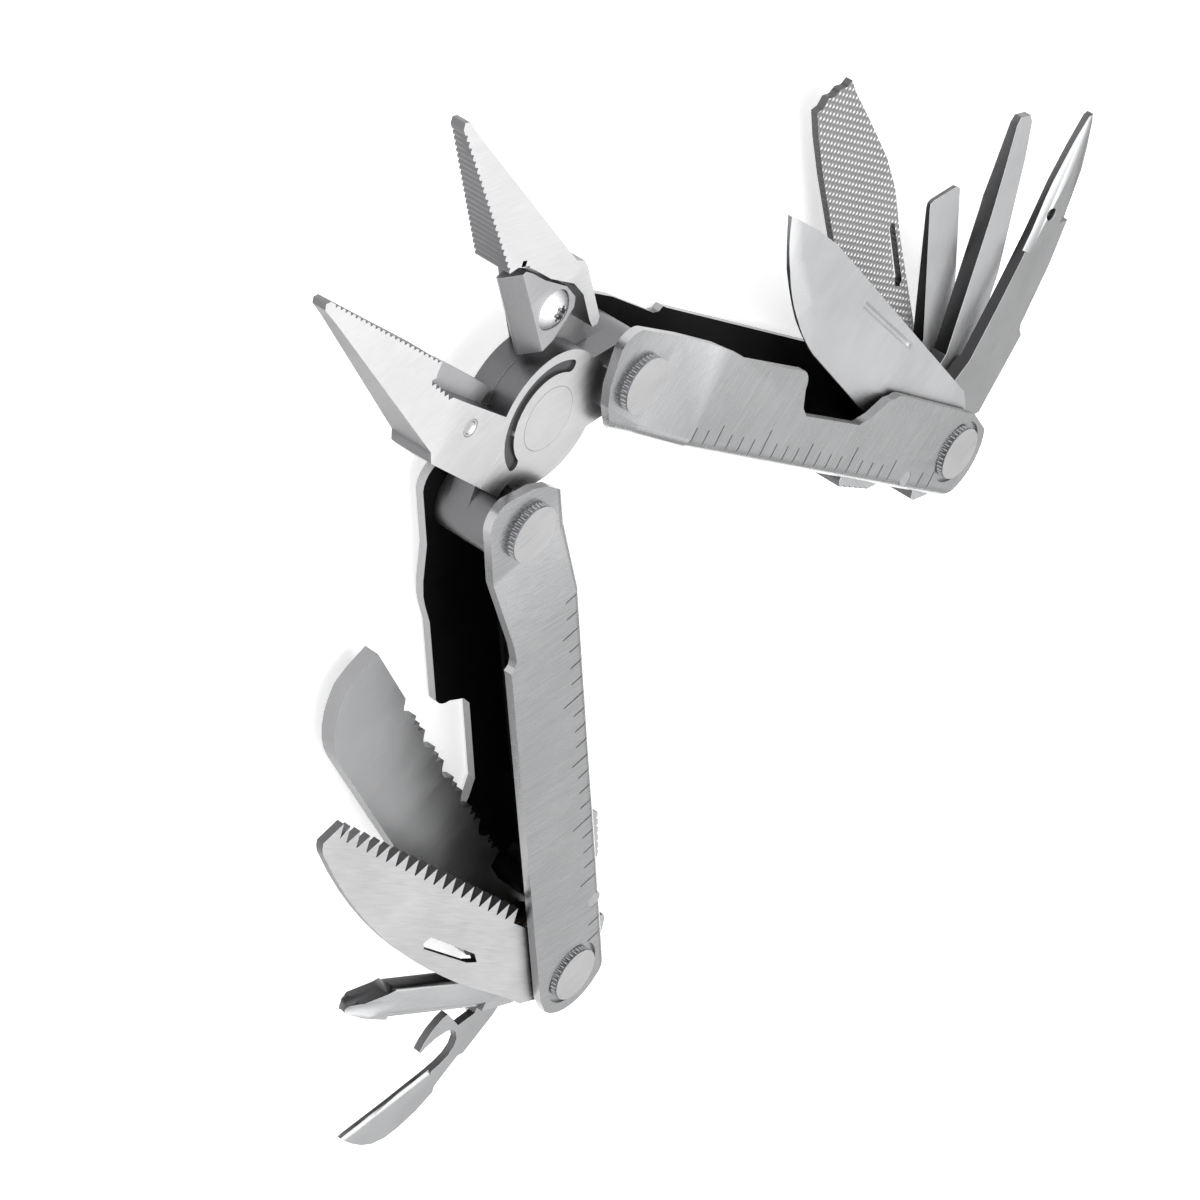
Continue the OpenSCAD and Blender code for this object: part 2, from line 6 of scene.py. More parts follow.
import bpy
from bpy.props import (FloatProperty, FloatVectorProperty, PointerProperty)
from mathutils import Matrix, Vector

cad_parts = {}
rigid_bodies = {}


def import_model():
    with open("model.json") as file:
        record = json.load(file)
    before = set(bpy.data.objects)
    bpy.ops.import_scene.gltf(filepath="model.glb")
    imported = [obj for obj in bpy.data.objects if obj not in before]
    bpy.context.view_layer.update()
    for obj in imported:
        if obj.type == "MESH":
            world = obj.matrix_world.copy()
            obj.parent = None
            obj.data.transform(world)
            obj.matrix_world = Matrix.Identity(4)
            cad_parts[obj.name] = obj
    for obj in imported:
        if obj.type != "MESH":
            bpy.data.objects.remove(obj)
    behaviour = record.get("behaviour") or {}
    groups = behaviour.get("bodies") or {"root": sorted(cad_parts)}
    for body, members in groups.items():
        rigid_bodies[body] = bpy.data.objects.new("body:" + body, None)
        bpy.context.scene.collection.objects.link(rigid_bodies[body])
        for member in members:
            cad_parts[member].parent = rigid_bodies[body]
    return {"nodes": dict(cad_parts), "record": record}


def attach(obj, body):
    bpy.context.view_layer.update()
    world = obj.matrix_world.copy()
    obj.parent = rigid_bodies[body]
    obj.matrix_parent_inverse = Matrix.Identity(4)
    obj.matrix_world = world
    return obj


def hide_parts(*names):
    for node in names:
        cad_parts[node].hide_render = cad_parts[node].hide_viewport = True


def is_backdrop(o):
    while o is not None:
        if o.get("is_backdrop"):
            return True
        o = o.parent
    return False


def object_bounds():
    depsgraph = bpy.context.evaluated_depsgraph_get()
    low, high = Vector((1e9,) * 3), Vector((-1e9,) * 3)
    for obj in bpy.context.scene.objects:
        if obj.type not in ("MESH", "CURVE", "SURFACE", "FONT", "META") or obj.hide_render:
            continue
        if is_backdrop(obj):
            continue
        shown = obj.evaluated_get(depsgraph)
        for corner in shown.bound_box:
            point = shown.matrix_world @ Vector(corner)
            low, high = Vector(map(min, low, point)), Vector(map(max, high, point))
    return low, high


bl_info = {
    "name": "Multi tool looks",
    "version": (1, 0, 0),
    "blender": (4, 5, 0),
    "location": "View3D > Sidebar > Multi tool",
    "description": "Dresses the folding multi tool in brushed and ground steel on a pale studio floor",
    "category": "Object",
}

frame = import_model()
bounds_at_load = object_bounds()

MM = 0.001
# Sizes and places below are in millimetres, as the CAD has them, and angles are in degrees
MID_Z = 8.6
# The handles' channels: half their width, half of it where they are pinched, and their back
HANDLE_HALF = 7.9
PINCH_HALF = 6.2
FLARE_START = 4.5
FLARE_RUN = 11.0
BACK_DEPTH = 7.3
SHEET = 1.25
# The ruler's marks: how far from the middle they lie, and the strip they fill across a wall
RULER_LEVEL = 7.7
RULER_STRIP = (-6.3, -2.0)
# The plier head: its pivot, each jaw's angle, and the recess in each boss
PIVOT = (22.7, 4.7)
JAW_ANGLE = 13.5
RECESS_Z = 2.8
RECESS_REACH = 8.6
RECESS_WALL_REACH = 8.2
# Each handle's plier pin, the angle it runs at, and which way its open side turns
HANDLES = {
    "knife_side": ((14.904, -6.989), 202.3, 1),
    "saw_side": ((14.904, 16.389), 157.7, -1),
}
# The way that the tools with lengthwise grain run from their pins
TOOL_ANGLES = {
    "file": 346.5, "awl": 287.0, "large_driver": 306.3, "small_driver": 325.5,
    "phillips_driver": 32.0, "can_opener": 84.4,
}
# How the brushing of the handles and of the jaws turns from the way they run
HANDLE_GRAIN = 76
JAW_GRAIN = 60
# How dark the bottoms of the scratches are beside their tops, and how dark the painted shade between
# the file's teeth is beside their tops
SCRATCH_SHADE = 0.9
TEETH_SHADE = 0.42

# The studio: the sky's brightness from straight down to straight up, and its blue tint
SKY_FOOT = 0.2
SKY_TOP = 0.62
SKY_STEPS = ((0.3, 0.28), (0.42, 0.38), (0.46, 0.44), (0.574, 0.52), (0.7, 0.82), (0.85, 0.62))
SKY_BLUE = 1.005
SKY_STRENGTH = 1.5
SUN_STRENGTH = 1.9
SUN_SPREAD = 70
FLOOR_GLOW = 0.45
# Each soft box: its place and width in metres, and its share of the light power
SOFT_BOXES = {
    "key soft box": ((-0.9, -0.6, 0.9), 0.5, 0.02),
    "fill soft box": ((0.6, 0.8, 0.7), 0.6, 0.08),
    "rim soft box": ((0.2, -1.0, 0.5), 0.3, 0.1),
}
CAMERA_PLACE = (0.516381, 0.109600, 0.290643)
CAMERA_TURN = (-45.933915, -48.877089, -115.857908)


def node_body(node):
    """The body that a CAD node belongs to."""
    for body, nodes in frame["record"]["behaviour"]["bodies"].items():
        if node in nodes:
            return body
    raise ValueError(f"no body holds {node}")


# ---- modelling ----

def only(obj):
    """Makes obj the one selected and active object."""
    if bpy.context.object and bpy.context.object.mode != "OBJECT":
        bpy.ops.object.mode_set(mode="OBJECT")
    bpy.ops.object.select_all(action="DESELECT")
    obj.select_set(True)
    bpy.context.view_layer.objects.active = obj


def mark_edges(piece, angle, skip):
    """Gives a full bevel weight to each edge that is sharper than the angle and isn't skipped."""
    faces = {}
    for poly in piece.data.polygons:
        for key in poly.edge_keys:
            faces.setdefault(key, []).append(poly.normal)
    weights = piece.data.attributes.new("bevel_weight_edge", "FLOAT", "EDGE")
    points = [v.co for v in piece.data.vertices]
    for edge in piece.data.edges:
        sides = faces.get(tuple(sorted(edge.vertices)), [])
        sharp = len(sides) == 2 and sides[0].angle(sides[1], 0.0) > math.radians(angle)
        if sharp and not (skip and all(skip(points[i]) for i in edge.vertices)):
            weights.data[edge.index].value = 1.0


def softened(node, name, width, segments=2, angle=38, skip=None):
    """A copy of a CAD node with its sharp edges rounded, which stands for the node."""
    only(frame["nodes"][node])
    bpy.ops.object.duplicate(linked=False)
    piece = bpy.context.view_layer.objects.active
    piece.name = name
    piece.data.name = name
    bpy.ops.object.parent_clear(type="CLEAR_KEEP_TRANSFORM")
    bpy.ops.object.mode_set(mode="EDIT")
    bpy.ops.mesh.select_all(action="SELECT")
    bpy.ops.mesh.customdata_custom_splitnormals_clear()
    bpy.ops.mesh.remove_doubles(threshold=0.000002)
    bpy.ops.mesh.dissolve_limited(angle_limit=math.radians(1))
    bpy.ops.mesh.normals_make_consistent(inside=False)
    bpy.ops.object.mode_set(mode="OBJECT")
    if width > 0:
        bevel = piece.modifiers.new("soft edges", "BEVEL")
        bevel.width = width
        bevel.segments = segments
        bevel.limit_method = "WEIGHT"
        mark_edges(piece, angle, skip)
        bpy.ops.object.modifier_apply(modifier=bevel.name)
    bpy.ops.object.shade_smooth_by_angle(angle=math.radians(50 if width > 0 else 30))
    flat = piece.modifiers.new("flat faces", "WEIGHTED_NORMAL")
    flat.keep_sharp = True
    flat.weight = 100
    bpy.ops.object.modifier_apply(modifier=flat.name)
    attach(piece, node_body(node))
    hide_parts(node)
    return piece


def dress(obj, *materials):
    """Gives an object these materials, the first one everywhere."""
    while len(obj.data.materials) < len(materials):
        obj.data.materials.append(None)
    for i, material in enumerate(materials):
        obj.data.materials[i] = material
    for i in range(len(materials), len(obj.data.materials)):
        obj.data.materials[i] = materials[0]


# ---- shared effects ----

def new_group(name, inputs, outputs):
    """An empty shader node group with named sockets."""
    group = bpy.data.node_groups.new(name, "ShaderNodeTree")
    for label, kind, value in inputs:
        socket = group.interface.new_socket(label, in_out="INPUT", socket_type=kind)
        if value is not None:
            socket.default_value = value
    for label, kind in outputs:
        group.interface.new_socket(label, in_out="OUTPUT", socket_type=kind)
    return group, group.nodes.new("NodeGroupInput"), group.nodes.new("NodeGroupOutput")


def math_node(tree, operation, a, b=None, clamp=False):
    """A math node with links or numbers on its inputs."""
    node = tree.nodes.new("ShaderNodeMath")
    node.operation = operation
    node.use_clamp = clamp
    for i, value in enumerate((a, b)):
        if value is None:
            continue
        if isinstance(value, (int, float)):
            node.inputs[i].default_value = value
        else:
            tree.links.new(value, node.inputs[i])
    return node.outputs[0]


def brushing_group():
    """Fine parallel scratches along X, as a mask and a bumped normal."""
    group, ins, outs = new_group(
        "Fine brushing",
        [("Vector", "NodeSocketVector", None), ("Fineness", "NodeSocketFloat", 9000.0),
         ("Stretch", "NodeSocketFloat", 40.0), ("Depth", "NodeSocketFloat", 0.06)],
        [("Mask", "NodeSocketFloat"), ("Normal", "NodeSocketVector")])
    link = group.links.new
    along = math_node(group, "DIVIDE", ins.outputs["Fineness"], ins.outputs["Stretch"])
    scale = group.nodes.new("ShaderNodeCombineXYZ")
    link(along, scale.inputs[0])
    link(ins.outputs["Fineness"], scale.inputs[1])
    link(ins.outputs["Fineness"], scale.inputs[2])
    stretch = group.nodes.new("ShaderNodeVectorMath")
    stretch.operation = "MULTIPLY"
    link(ins.outputs["Vector"], stretch.inputs[0])
    link(scale.outputs[0], stretch.inputs[1])
    noise = group.nodes.new("ShaderNodeTexNoise")
    noise.inputs["Scale"].default_value = 1.0
    noise.inputs["Detail"].default_value = 3.0
    noise.inputs["Roughness"].default_value = 0.6
    link(stretch.outputs[0], noise.inputs["Vector"])
    spread = group.nodes.new("ShaderNodeMapRange")
    spread.inputs["From Min"].default_value = 0.3
    spread.inputs["From Max"].default_value = 0.7
    link(noise.outputs[0], spread.inputs["Value"])
    bump = group.nodes.new("ShaderNodeBump")
    bump.inputs["Distance"].default_value = 0.00005
    link(ins.outputs["Depth"], bump.inputs["Strength"])
    link(spread.outputs[0], bump.inputs["Height"])
    link(spread.outputs[0], outs.inputs["Mask"])
    link(bump.outputs[0], outs.inputs["Normal"])
    return group


def marks_group():
    """Soft uneven marks left by handling, as a mask."""
    group, ins, outs = new_group(
        "Handling marks", [("Vector", "NodeSocketVector", None), ("Size", "NodeSocketFloat", 90.0)],
        [("Mask", "NodeSocketFloat")])
    noise = group.nodes.new("ShaderNodeTexNoise")
    noise.inputs["Detail"].default_value = 4.0
    group.links.new(ins.outputs["Vector"], noise.inputs["Vector"])
    group.links.new(ins.outputs["Size"], noise.inputs["Scale"])
    spread = group.nodes.new("ShaderNodeMapRange")
    spread.inputs["From Min"].default_value = 0.35
    spread.inputs["From Max"].default_value = 0.65
    group.links.new(noise.outputs[0], spread.inputs["Value"])
    group.links.new(spread.outputs[0], outs.inputs["Mask"])
    return group


def painted_side_light_group():
    """A mask for the painted light on the narrow sides: one on faces that stand across the flat of the
    tool, nothing on its flat faces.
    """
    group, ins, outs = new_group(
        "Painted light on narrow sides", [("Normal", "NodeSocketVector", None)], [("Mask", "NodeSocketFloat")])
    split = group.nodes.new("ShaderNodeSeparateXYZ")
    group.links.new(ins.outputs["Normal"], split.inputs[0])
    upright = math_node(group, "ABSOLUTE", split.outputs[2])
    spread = group.nodes.new("ShaderNodeMapRange")
    spread.inputs["From Min"].default_value = 0.75
    spread.inputs["From Max"].default_value = 0.25
    group.links.new(upright, spread.inputs["Value"])
    group.links.new(spread.outputs[0], outs.inputs["Mask"])
    return group


def file_group():
    """Two crossing rows of file teeth, as a mask and a bumped normal."""
    group, ins, outs = new_group(
        "File cut", [("Vector", "NodeSocketVector", None), ("Rows", "NodeSocketFloat", 330.0)],
        [("Mask", "NodeSocketFloat"), ("Normal", "NodeSocketVector")])
    waves = []
    for turn in (-38, 52):
        mapping = group.nodes.new("ShaderNodeMapping")
        mapping.inputs["Rotation"].default_value = (0, 0, math.radians(turn))
        group.links.new(ins.outputs["Vector"], mapping.inputs["Vector"])
        wave = group.nodes.new("ShaderNodeTexWave")
        wave.wave_type = "BANDS"
        wave.bands_direction = "X"
        wave.inputs["Distortion"].default_value = 0.15
        group.links.new(mapping.outputs[0], wave.inputs["Vector"])
        group.links.new(ins.outputs["Rows"], wave.inputs["Scale"])
        waves.append(wave.outputs["Fac"])
    both = math_node(group, "MULTIPLY", waves[0], waves[1])
    bump = group.nodes.new("ShaderNodeBump")
    bump.inputs["Strength"].default_value = 0.8
    bump.inputs["Distance"].default_value = 0.0002
    group.links.new(both, bump.inputs["Height"])
    group.links.new(both, outs.inputs["Mask"])
    group.links.new(bump.outputs[0], outs.inputs["Normal"])
    return group


_groups = {}


def shared(name):
    """A shared node group, made when it is first wanted."""
    makers = {"Fine brushing": brushing_group, "Handling marks": marks_group,
              "Painted light on narrow sides": painted_side_light_group, "File cut": file_group}
    if name not in _groups:
        _groups[name] = makers[name]()
    return _groups[name]


def group_node(tree, name, **values):
    """A shared group placed in a material."""
    node = tree.nodes.new("ShaderNodeGroup")
    node.node_tree = shared(name)
    for label, value in values.items():
        node.inputs[label.replace("_", " ")].default_value = value
    return node


def mix_colour(tree, factor, a, b):
    """A colour mix with links or colours on its inputs."""
    mix = tree.nodes.new("ShaderNodeMix")
    mix.data_type = "RGBA"
    tree.links.new(factor, mix.inputs["Factor"])
    for label, value in (("A", a), ("B", b)):
        socket = [s for s in mix.inputs if s.name == label and s.type == "RGBA"][0]
        if isinstance(value, (tuple, list)):
            socket.default_value = (*value, 1)
        else:
            tree.links.new(value, socket)
    return [s for s in mix.outputs if s.type == "RGBA"][0]


def steel(name, face, side, rough, angle=0.0, fineness=9000.0, stretch=40.0, depth=0.06,
          cut=False):
    """Steel with brushed flat faces along an angle, narrow sides in the side colour as painted shade
    (a painted highlight where that colour is brighter than the face), and soft marks.
    """
    material = bpy.data.materials.new(name)
    material.use_nodes = True
    tree = material.node_tree
    shader = tree.nodes["Principled BSDF"]
    shader.inputs["Metallic"].default_value = 1.0
    coords = tree.nodes.new("ShaderNodeTexCoord")
    turn = tree.nodes.new("ShaderNodeMapping")
    turn.inputs["Rotation"].default_value = (0, 0, math.radians(-angle))
    tree.links.new(coords.outputs["Object"], turn.inputs["Vector"])
    grain = group_node(tree, "Fine brushing", Fineness=fineness, Stretch=stretch, Depth=depth)
    tree.links.new(turn.outputs[0], grain.inputs["Vector"])
    marks = group_node(tree, "Handling marks")
    tree.links.new(coords.outputs["Object"], marks.inputs["Vector"])
    sides = group_node(tree, "Painted light on narrow sides")
    tree.links.new(coords.outputs["Normal"], sides.inputs["Normal"])
    dim = tuple(c * SCRATCH_SHADE for c in face)
    colour = mix_colour(tree, grain.outputs["Mask"], dim, face)
    normal = grain.outputs["Normal"]
    if cut:
        teeth = group_node(tree, "File cut")
        tree.links.new(turn.outputs[0], teeth.inputs["Vector"])
        # Painted shade in the gaps between the file's teeth
        teeth_gap_shade = tuple(c * TEETH_SHADE for c in face)
        colour = mix_colour(tree, teeth.outputs["Mask"], teeth_gap_shade, face)
        normal = teeth.outputs["Normal"]
    # The narrow sides take the side colour: painted shade where it is darker than the face, a painted
    # highlight where it is brighter
    colour = mix_colour(tree, sides.outputs["Mask"], colour, side)
    tree.links.new(colour, shader.inputs["Base Color"])
    roughness = math_node(tree, "ADD", math_node(tree, "MULTIPLY", marks.outputs["Mask"], 0.06),
                          math_node(tree, "MULTIPLY", grain.outputs["Mask"], 0.08))
    tree.links.new(math_node(tree, "ADD", roughness, rough, clamp=True),
                   shader.inputs["Roughness"])
    tree.links.new(normal, shader.inputs["Normal"])
    return material


# ---- settings ----

class MultiToolSettings(bpy.types.PropertyGroup):
    edge_round: FloatProperty(
        name="Edge rounding", description="Radius of the rounded edges of the handles and jaws",
        default=0.00016, min=0.0, max=0.0003, subtype="DISTANCE", unit="LENGTH")
    blade_round: FloatProperty(
        name="Blade edge rounding", description="Radius of the edges of the folding tools",
        default=0.00006, min=0.0, max=0.0002, subtype="DISTANCE", unit="LENGTH")
    face_colour: FloatVectorProperty(
        name="Steel", description="Colour of the satin steel faces", subtype="COLOR",
        default=(0.66, 0.665, 0.67), min=0.0, max=1.0)
    handle_colour: FloatVectorProperty(
        name="Handle steel", description="Colour of the brushed handle faces", subtype="COLOR",
        default=(0.6, 0.605, 0.61), min=0.0, max=1.0)
    # Painted shade on the narrow sides of jaws, tools and hardware
    side_shade_colour: FloatVectorProperty(
        name="Painted light on narrow sides", description="Colour of the narrow sides of jaws and tools",
        subtype="COLOR", default=(0.1, 0.1, 0.103), min=0.0, max=1.0)
    # Painted shade inside the handle channels
    channel_shade_colour: FloatVectorProperty(
        name="Painted channel shade", description="Colour inside the handle channels", subtype="COLOR",
        default=(0.02, 0.02, 0.021), min=0.0, max=1.0)


class StudioSettings(bpy.types.PropertyGroup):
    floor_size: FloatProperty(
        name="Floor size", description="Width of the floor", default=12.0, min=1.0,
        subtype="DISTANCE", unit="LENGTH")
    floor_colour: FloatVectorProperty(
        name="Floor colour", description="Colour of the pale floor", subtype="COLOR",
        default=(0.93, 0.93, 0.93), min=0.0, max=1.0)
    light_power: FloatProperty(
        name="Light power", description="Power that the soft boxes share", default=9.0, min=0.0,
        subtype="POWER", unit="POWER")
    lens: FloatProperty(
        name="Lens", description="Focal length of the camera", default=141.0, min=20.0,
        unit="CAMERA")


# ---- operators ----

class MULTITOOL_OT_handles(bpy.types.Operator):
    """Round the edges of both handles, brush their faces, paint shade into their channels and a
    highlight on their rounded rims
    """
    bl_idname = "multitool.handles"
    bl_label = "Dress the handles"

    def execute(self, context):
        settings = context.scene.multitool
        # Near-black painted shade inside the channels
        inside = steel("painted shade inside the channel", tuple(settings.channel_shade_colour),
                       tuple(settings.channel_shade_colour), 0.45, stretch=6.0, depth=0.03)
        # A painted highlight on the rounded sheet edges, with painted shade where they stand upright
        rim_highlight = steel("painted highlight on the rounded sheet edge", (0.8, 0.8, 0.81), (0.34, 0.34, 0.345), 0.24)
        for side, (pin, angle, turn) in HANDLES.items():
            along = Vector((math.cos(math.radians(angle)), math.sin(math.radians(angle))))
            out = Vector((-along.y, along.x)) * turn

            def on_ruler(point):
                v = (Vector((point.x, point.y)) / MM - Vector(pin)).dot(out)
                inner_line, outer_line = RULER_STRIP
                return abs(point.z / MM - MID_Z) > RULER_LEVEL and inner_line < v < outer_line

            piece = softened(f"{side}_handle", f"{side}_handle_brushed", settings.edge_round,
                             skip=on_ruler)
            # The handles' narrow sides get a slightly darker painted shade
            face = steel(f"brushed {side.replace('_', ' ')} handle", tuple(settings.handle_colour),
                         tuple(c * 0.9 for c in settings.handle_colour), 0.2, angle + HANDLE_GRAIN,
                         fineness=7000.0, stretch=30.0, depth=0.1)
            dress(piece, face, inside, rim_highlight)
            for poly in piece.data.polygons:
                at = Vector((poly.center.x, poly.center.y)) / MM - Vector(pin)
                u, v = at.dot(along), at.dot(out)
                z = poly.center.z / MM - MID_Z
                grown = min(max((u - FLARE_START) / FLARE_RUN, 0.0), 1.0)
                inner = PINCH_HALF + (HANDLE_HALF - PINCH_HALF) * grown - SHEET + 0.12
                normal_out = Vector((poly.normal.x, poly.normal.y)).dot(out)
                faces_inwards = poly.normal.z * z < 0.2 or normal_out > 0.2
                # Faces inside the channel take the painted shade, the rounded rims the painted
                # highlight
                if abs(z) < inner and v > -BACK_DEPTH + SHEET - 0.15 and faces_inwards:
                    poly.material_index = 1
                elif abs(z) >= inner and abs(poly.normal.z) < 0.55 and v > -5.5:
                    poly.material_index = 2
        return {"FINISHED"}


class MULTITOOL_OT_head(bpy.types.Operator):
    """Round the edges of the jaws and give them satin faces, with painted shade on their narrow sides
    and in their boss recesses
    """
    bl_idname = "multitool.head"
    bl_label = "Dress the plier head"

    def execute(self, context):
        settings = context.scene.multitool
        side = tuple(settings.side_shade_colour)
        # Painted shade on the floor and walls of each boss recess
        recess_shade = steel("painted shade in the boss recess", (0.14, 0.14, 0.144), (0.08, 0.08, 0.08),
                       0.4, 60, depth=0.05)
        for node, angle in (("top_jaw", JAW_ANGLE), ("under_jaw", -JAW_ANGLE)):
            piece = softened(node, f"{node}_satin", settings.edge_round * 0.6, segments=1)
            # The jaws' narrow sides get painted shade
            dress(piece, steel(f"satin steel of the {node.replace('_', ' ')}", (0.8, 0.8, 0.805),
                               tuple(c * 1.3 for c in side), 0.3, angle + JAW_GRAIN, depth=0.05),
                  recess_shade)
            # Faces on the floor and walls of the boss recess take the painted shade
            for poly in piece.data.polygons:
                reach = (Vector((poly.center.x, poly.center.y)) / MM - Vector(PIVOT)).length
                height = abs(poly.center.z / MM - MID_Z)
                on_floor = reach < RECESS_REACH and abs(height - RECESS_Z) < 0.1
                upright = height < RECESS_Z + 0.3 and abs(poly.normal.z) < 0.5
                if on_floor or (upright and reach < RECESS_WALL_REACH):
                    poly.material_index = 1
        for node in ("top_cutter", "under_cutter"):
            piece = softened(node, f"{node}_ground", settings.blade_round, segments=1)
            # The cutters' narrow sides get painted shade
            dress(piece, steel(f"ground steel of the {node.replace('_', ' ')}", (0.6, 0.6, 0.61),
                               (0.4, 0.4, 0.41), 0.28, 80, fineness=5000.0, depth=0.12))
        for node in ("top_cutter_screw", "under_cutter_screw"):
            piece = softened(node, f"{node}_polished", settings.blade_round, segments=1)
            # The screws' narrow sides get painted shade
            dress(piece, steel(f"polished {node.replace('_', ' ')}", (0.75, 0.75, 0.76),
                               (0.2, 0.2, 0.21), 0.18, stretch=4.0, depth=0.02))
        rivet = frame["nodes"]["plier_rivet"]
        # The rivet's narrow sides get painted shade
        dress(rivet, steel("satin plier rivet", (0.78, 0.78, 0.785), side, 0.3, 60, depth=0.04))
        return {"FINISHED"}


class MULTITOOL_OT_blades(bpy.types.Operator):
    """Give the knife, serrated knife, saw and file their ground and cut faces"""
    bl_idname = "multitool.blades"
    bl_label = "Dress the blades"

    def execute(self, context):
        settings = context.scene.multitool
        side = tuple(settings.side_shade_colour)
        # Each blade: face colour, colour of its narrow sides (a painted highlight on the knife's
        # ground bevel, painted shade on the others), roughness, grain angle, bump depth
        looks = {
            "knife": ((0.7, 0.705, 0.71), (0.8, 0.8, 0.8), 0.3, 96, 0.05),
            "serrated_knife": ((0.52, 0.525, 0.53), (0.24, 0.24, 0.245), 0.3, 84, 0.05),
            "saw": ((0.74, 0.74, 0.745), side, 0.33, 20, 0.07),
            "file": ((0.75, 0.75, 0.75), side, 0.42, TOOL_ANGLES["file"], 0.1),
        }
        for node, (face, edge, rough, angle, depth) in looks.items():
            piece = softened(node, f"{node}_ground", settings.blade_round, segments=1, angle=50)
            dress(piece, steel(f"{node.replace('_', ' ')} steel", face, edge, rough, angle,
                               depth=depth, cut=node == "file"))
        return {"FINISHED"}


class MULTITOOL_OT_drivers(bpy.types.Operator):
    """Give the awl, drivers and can opener satin faces and painted shade on their narrow sides"""
    bl_idname = "multitool.drivers"
    bl_label = "Dress the drivers"

    def execute(self, context):
        settings = context.scene.multitool
        side = tuple(settings.side_shade_colour)
        for node in ("awl", "large_driver", "small_driver", "phillips_driver", "can_opener"):
            piece = softened(node, f"{node}_satin", settings.blade_round, segments=1, angle=50)
            shade = {"awl": 0.72, "can_opener": 0.85}.get(node, 1.0)
            face = tuple(c * shade for c in settings.face_colour)
            # Their narrow sides get painted shade
            dress(piece, steel(f"{node.replace('_', ' ')} steel", face, side, 0.3,
                               TOOL_ANGLES[node], stretch=25.0, depth=0.05))
        return {"FINISHED"}


class MULTITOOL_OT_hardware(bpy.types.Operator):
    """Give the caps, pins, washers, locks and springs their metals"""
    bl_idname = "multitool.hardware"
    bl_label = "Dress the hardware"

    def execute(self, context):
        settings = context.scene.multitool
        face = tuple(settings.face_colour)
        side = tuple(settings.side_shade_colour)
        # The second colour of each steel below is painted shade on its narrow sides
        for name in HANDLES:
            words = name.replace("_", " ")
            caps = softened(f"{name}_caps", f"{name}_caps_knurled", settings.blade_round,
                            segments=1, angle=60)
            dress(caps, steel(f"knurled {words} caps", (0.74, 0.74, 0.745), (0.3, 0.3, 0.31), 0.26,
                              70, depth=0.05))
            lock = softened(f"{name}_lock", f"{name}_lock_satin", settings.blade_round, segments=1)
            dress(lock, steel(f"satin {words} lock", face, side, 0.3, depth=0.05))
            dress(frame["nodes"][f"{name}_pins"], steel(f"{words} pins", face, side, 0.25))
            dress(frame["nodes"][f"{name}_lock_pin"], steel(f"{words} lock pin", face, side, 0.25))
            dress(frame["nodes"][f"{name}_washers"],
                  steel(f"{words} bronze washers", (0.6, 0.42, 0.2), (0.4, 0.28, 0.14), 0.3))
            dress(frame["nodes"][f"{name}_lock_spring"],
                  steel(f"{words} spring steel", (0.25, 0.25, 0.26), (0.15, 0.15, 0.16), 0.35))
        return {"FINISHED"}


def soft_box(name, at, size, power):
    """A square area light that faces the middle of the floor."""
    bpy.ops.object.light_add(type="AREA", location=at)
    lamp = bpy.context.object
    lamp.name = name
    lamp.data.size = size
    lamp.data.energy = power
    lamp.rotation_euler = (-Vector(at)).to_track_quat("-Z", "Y").to_euler()


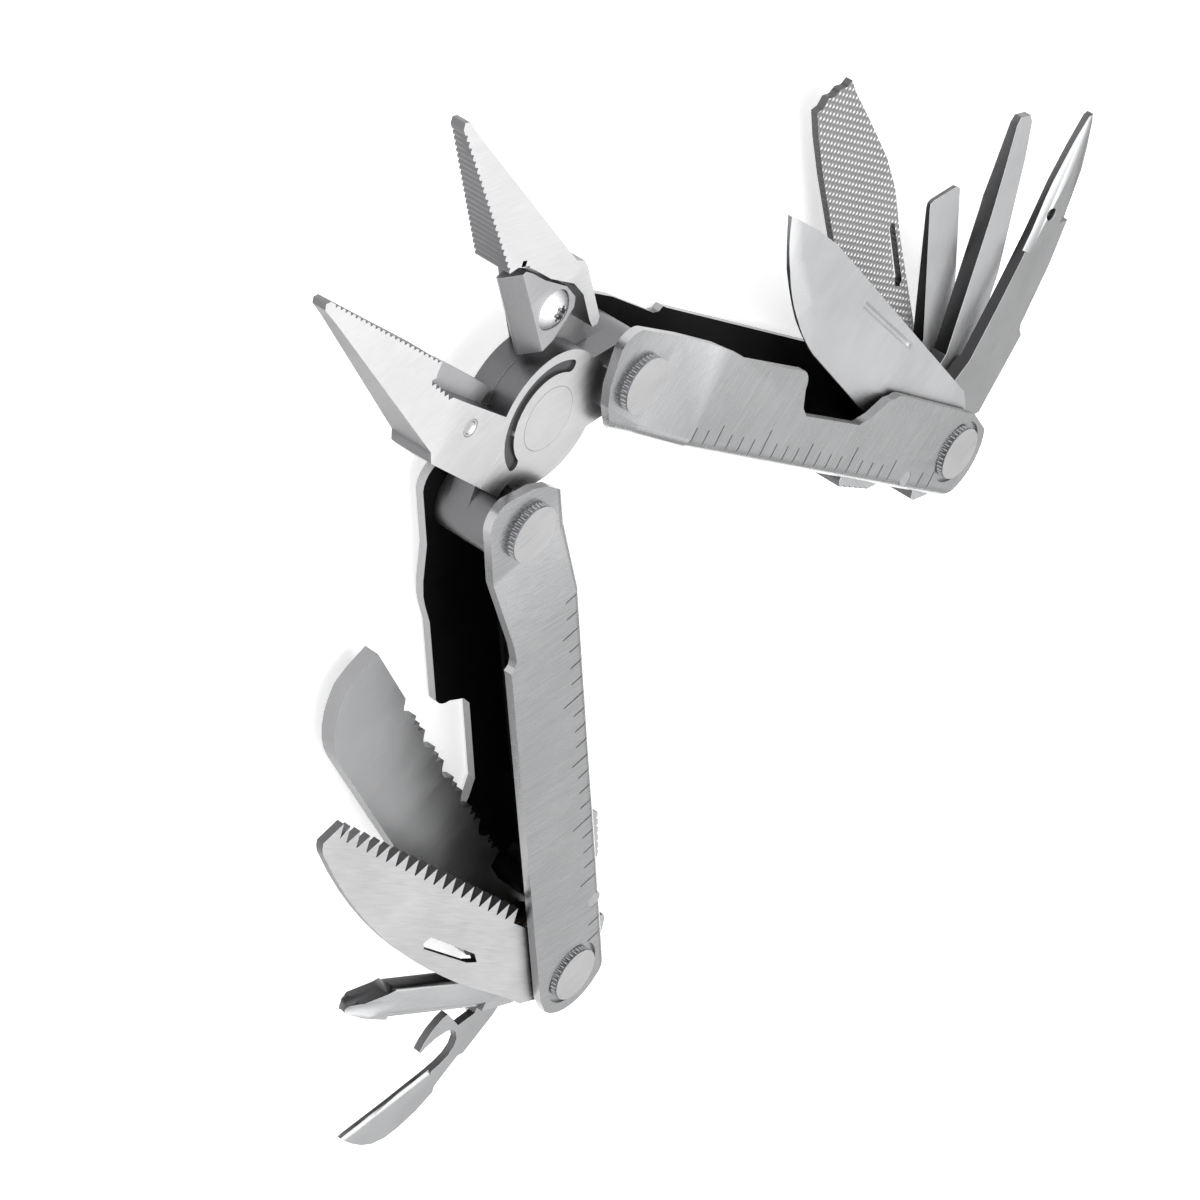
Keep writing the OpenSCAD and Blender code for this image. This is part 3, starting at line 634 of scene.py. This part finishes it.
class MULTITOOL_OT_stage(bpy.types.Operator):
    """Lay the pale floor and set up the soft lights, the sky and the camera"""
    bl_idname = "multitool.stage"
    bl_label = "Set the stage"

    def execute(self, context):
        settings = context.scene.multitool_studio
        bpy.ops.object.select_all(action="DESELECT")
        bpy.ops.mesh.primitive_plane_add(size=settings.floor_size, location=(0, 0, 0))
        floor = context.object
        floor.name = "floor"
        paint = bpy.data.materials.new("pale floor")
        paint.use_nodes = True
        shader = paint.node_tree.nodes["Principled BSDF"]
        shader.inputs["Base Color"].default_value = (*settings.floor_colour, 1)
        shader.inputs["Roughness"].default_value = 0.9
        shader.inputs["Specular IOR Level"].default_value = 0.0
        shader.inputs["Emission Color"].default_value = (1, 1, 1, 1)
        shader.inputs["Emission Strength"].default_value = FLOOR_GLOW
        floor.data.materials.append(paint)
        floor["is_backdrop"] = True

        world = bpy.data.worlds.new("studio sky")
        world.use_nodes = True
        context.scene.world = world
        tree = world.node_tree
        coords = tree.nodes.new("ShaderNodeTexCoord")
        split = tree.nodes.new("ShaderNodeSeparateXYZ")
        tree.links.new(coords.outputs["Generated"], split.inputs[0])
        ramp = tree.nodes.new("ShaderNodeValToRGB")
        stops = ramp.color_ramp.elements
        stops[0].position, stops[0].color = 0.0, (SKY_FOOT, SKY_FOOT, SKY_FOOT, 1)
        stops[1].position, stops[1].color = 1.0, (SKY_TOP, SKY_TOP, SKY_TOP, 1)
        for height, level in SKY_STEPS:
            stop = stops.new(height)
            stop.color = (level, level, level * SKY_BLUE, 1)
        tree.links.new(split.outputs[2], ramp.inputs[0])
        back = tree.nodes["Background"]
        tree.links.new(ramp.outputs[0], back.inputs["Color"])
        back.inputs["Strength"].default_value = SKY_STRENGTH

        for name, (at, size, share) in SOFT_BOXES.items():
            soft_box(name, at, size, settings.light_power * share)
        bpy.ops.object.light_add(type="SUN", location=(0, 0, 1))
        sun = context.object
        sun.name = "overhead light"
        sun.data.energy = SUN_STRENGTH
        sun.data.angle = math.radians(SUN_SPREAD)

        bpy.ops.object.camera_add(location=CAMERA_PLACE)
        camera = context.object
        camera.name = "studio camera"
        camera.rotation_euler = [math.radians(turn) for turn in CAMERA_TURN]
        camera.data.sensor_width = 36.0
        camera.data.lens = settings.lens
        camera.data.clip_start = 0.01
        context.scene.camera = camera
        context.scene.view_settings.view_transform = "Standard"
        return {"FINISHED"}


class MULTITOOL_PT_panel(bpy.types.Panel):
    """Lists the steps that dress the multi tool"""
    bl_idname = "MULTITOOL_PT_panel"
    bl_label = "Multi tool"
    bl_space_type = "VIEW_3D"
    bl_region_type = "UI"
    bl_category = "Multi tool"

    def draw(self, context):
        for operator in STEPS:
            self.layout.operator(operator.bl_idname)
        for group in (context.scene.multitool, context.scene.multitool_studio):
            for name in group.__annotations__:
                self.layout.prop(group, name)


STEPS = (MULTITOOL_OT_handles, MULTITOOL_OT_head, MULTITOOL_OT_blades, MULTITOOL_OT_drivers,
         MULTITOOL_OT_hardware, MULTITOOL_OT_stage)
CLASSES = (MultiToolSettings, StudioSettings, *STEPS, MULTITOOL_PT_panel)


def register():
    for cls in CLASSES:
        bpy.utils.register_class(cls)
    bpy.types.Scene.multitool = PointerProperty(type=MultiToolSettings)
    bpy.types.Scene.multitool_studio = PointerProperty(type=StudioSettings)


def unregister():
    del bpy.types.Scene.multitool_studio
    del bpy.types.Scene.multitool
    for cls in reversed(CLASSES):
        bpy.utils.unregister_class(cls)


def plain(value):
    """Vectors as plain lists."""
    if isinstance(value, (int, float, str)):
        return value
    return [plain(v) for v in value]


def main():
    register()
    bpy.ops.multitool.handles()
    bpy.ops.multitool.head()
    bpy.ops.multitool.blades()
    bpy.ops.multitool.drivers()
    bpy.ops.multitool.hardware()
    bpy.ops.multitool.stage()
    {"at_load": plain(bounds_at_load), "at_finish": plain(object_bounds())}


if __name__ == "__main__":
    main()
